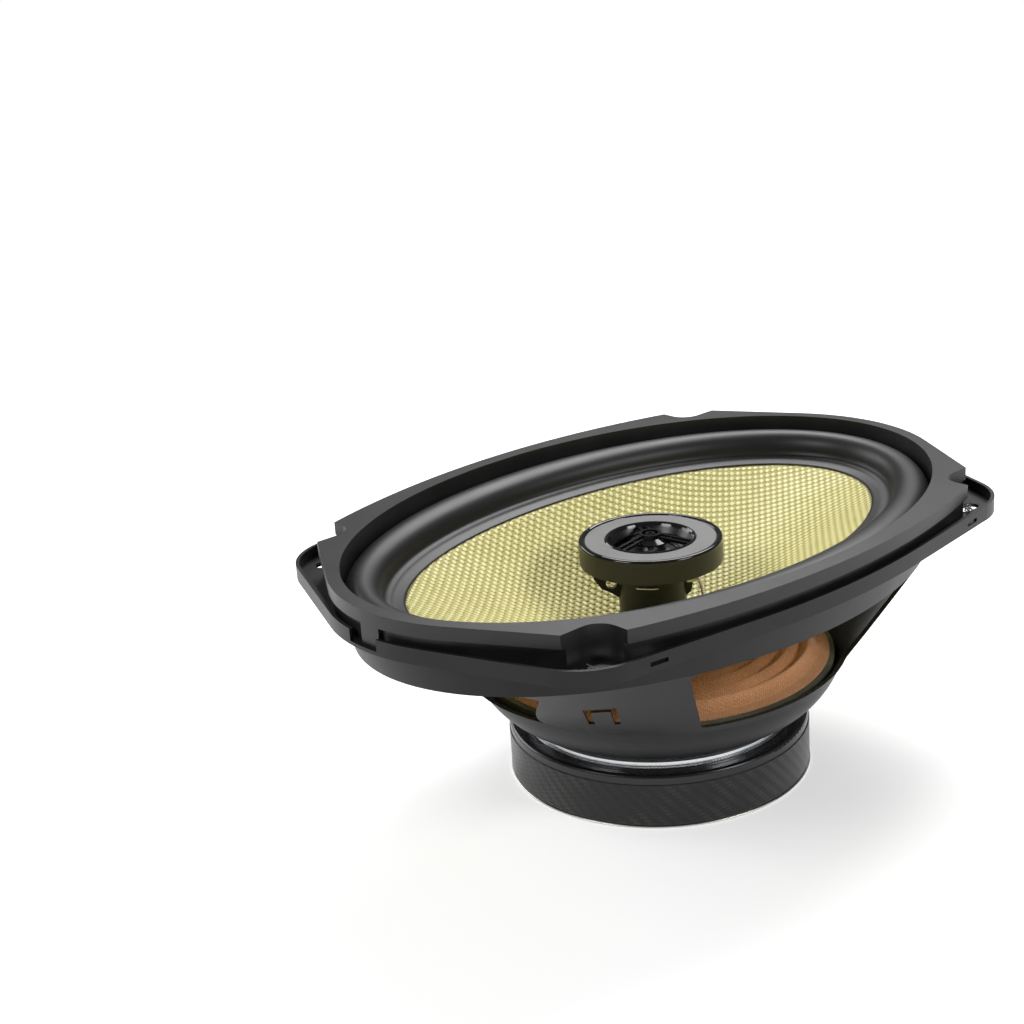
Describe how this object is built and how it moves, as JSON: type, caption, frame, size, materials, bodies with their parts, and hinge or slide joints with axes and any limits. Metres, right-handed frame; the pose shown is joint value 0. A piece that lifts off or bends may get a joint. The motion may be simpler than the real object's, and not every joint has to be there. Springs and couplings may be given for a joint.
{
  "type": "coaxial car speaker",
  "caption": "Oval coaxial car speaker: pressed basket with corner ears, trim ring, woven cone on a rubber surround, spider, magnet motor, and a dome tweeter on a central post.",
  "frame": {"origin": "centre of the motor's rear face, on the cone's axis", "axes": "+Z the way the cone fires, +X along the long side of the oval, +Y across it, towards the terminals"},
  "size_m": [0.235, 0.165, 0.0911],
  "materials": {
    "basket_steel": "semi-matt black paint",
    "trim_plastic": "satin black, fine grain",
    "surround_rubber": "smooth matt black",
    "cone_weave": "pale yellow woven glass fibre, glossy resin",
    "spider_cloth": "copper-orange phenolic cloth",
    "landing_fibre": "greenish grey fibre board",
    "former_aluminium": "thin rolled foil",
    "winding_copper": "enamelled copper wire",
    "collar_glue": "cured adhesive",
    "zinc_plate": "bright zinc plating",
    "yoke_steel": "black, bare steel at the edge chamfer",
    "ferrite": "dull dark grey ceramic",
    "bead_sealant": "glossy black sealant",
    "cover_satin": "satin black",
    "wrap_twill": "carbon twill pattern film",
    "post_plastic": "black moulding",
    "hardware_steel": "zinc plated",
    "insert_brass": "turned",
    "tweeter_gloss": "gloss black",
    "tweeter_grey": "matt mid grey",
    "dome_film": "thin film",
    "tweeter_steel": "plated steel",
    "neodymium": "nickel plated",
    "lead_enamel": "enamelled wire",
    "tag_tin": "tinned",
    "board_fibre": "brown phenolic board",
    "terminal_tin": "tinned brass",
    "capacitor_sleeve": "dark blue sleeve",
    "lead_braid": "braided copper and cotton"
  },
  "bodies": {
    "frame": {"adhesive_bead": "bead_sealant", "basket": "basket_steel", "board_rivets": "terminal_tin", "capacitor_leads": "tag_tin", "crossover_capacitor": "capacitor_sleeve", "ferrite_magnet": "ferrite", "frame_rivets": "hardware_steel", "magnet_cover": "cover_satin", "magnet_wrap": "wrap_twill", "negative_terminal": "terminal_tin", "positive_terminal": "terminal_tin", "post_insert": "insert_brass", "post_screw": "hardware_steel", "solder_tag": "tag_tin", "spider": "spider_cloth", "spider_landing_ring": "landing_fibre", "surround": "surround_rubber", "t_yoke": "yoke_steel", "terminal_board": "board_fibre", "tinsel_leads": "lead_braid", "top_plate": "zinc_plate", "trim_ring": "trim_plastic", "tweeter_cup": "tweeter_steel", "tweeter_face_plate": "tweeter_grey", "tweeter_grille": "tweeter_gloss", "tweeter_housing": "tweeter_gloss", "tweeter_lead": "lead_enamel", "tweeter_magnet": "neodymium", "tweeter_pole_plate": "tweeter_steel", "tweeter_post": "post_plastic", "tweeter_surround": "dome_film"},
    "cone_assembly": {"cone": "cone_weave", "voice_coil_former": "former_aluminium", "voice_coil_winding": "winding_copper", "cone_neck_collar": "collar_glue"},
    "tweeter_diaphragm": {"tweeter_dome": "dome_film", "tweeter_coil": "winding_copper"}
  },
  "joints": [
    {"name": "cone_travel", "type": "slide", "parent": "frame", "child": "cone_assembly", "axis": [0, 0, 1], "range_m": [-0.005, 0.005], "stiffness_N_per_m": 2400, "deforming": ["surround", "spider", "tinsel_leads"]},
    {"name": "tweeter_travel", "type": "slide", "parent": "frame", "child": "tweeter_diaphragm", "axis": [0, 0, 1], "range_m": [-0.0003, 0.0003], "stiffness_N_per_m": 8000, "deforming": ["tweeter_surround"]}
  ]
}
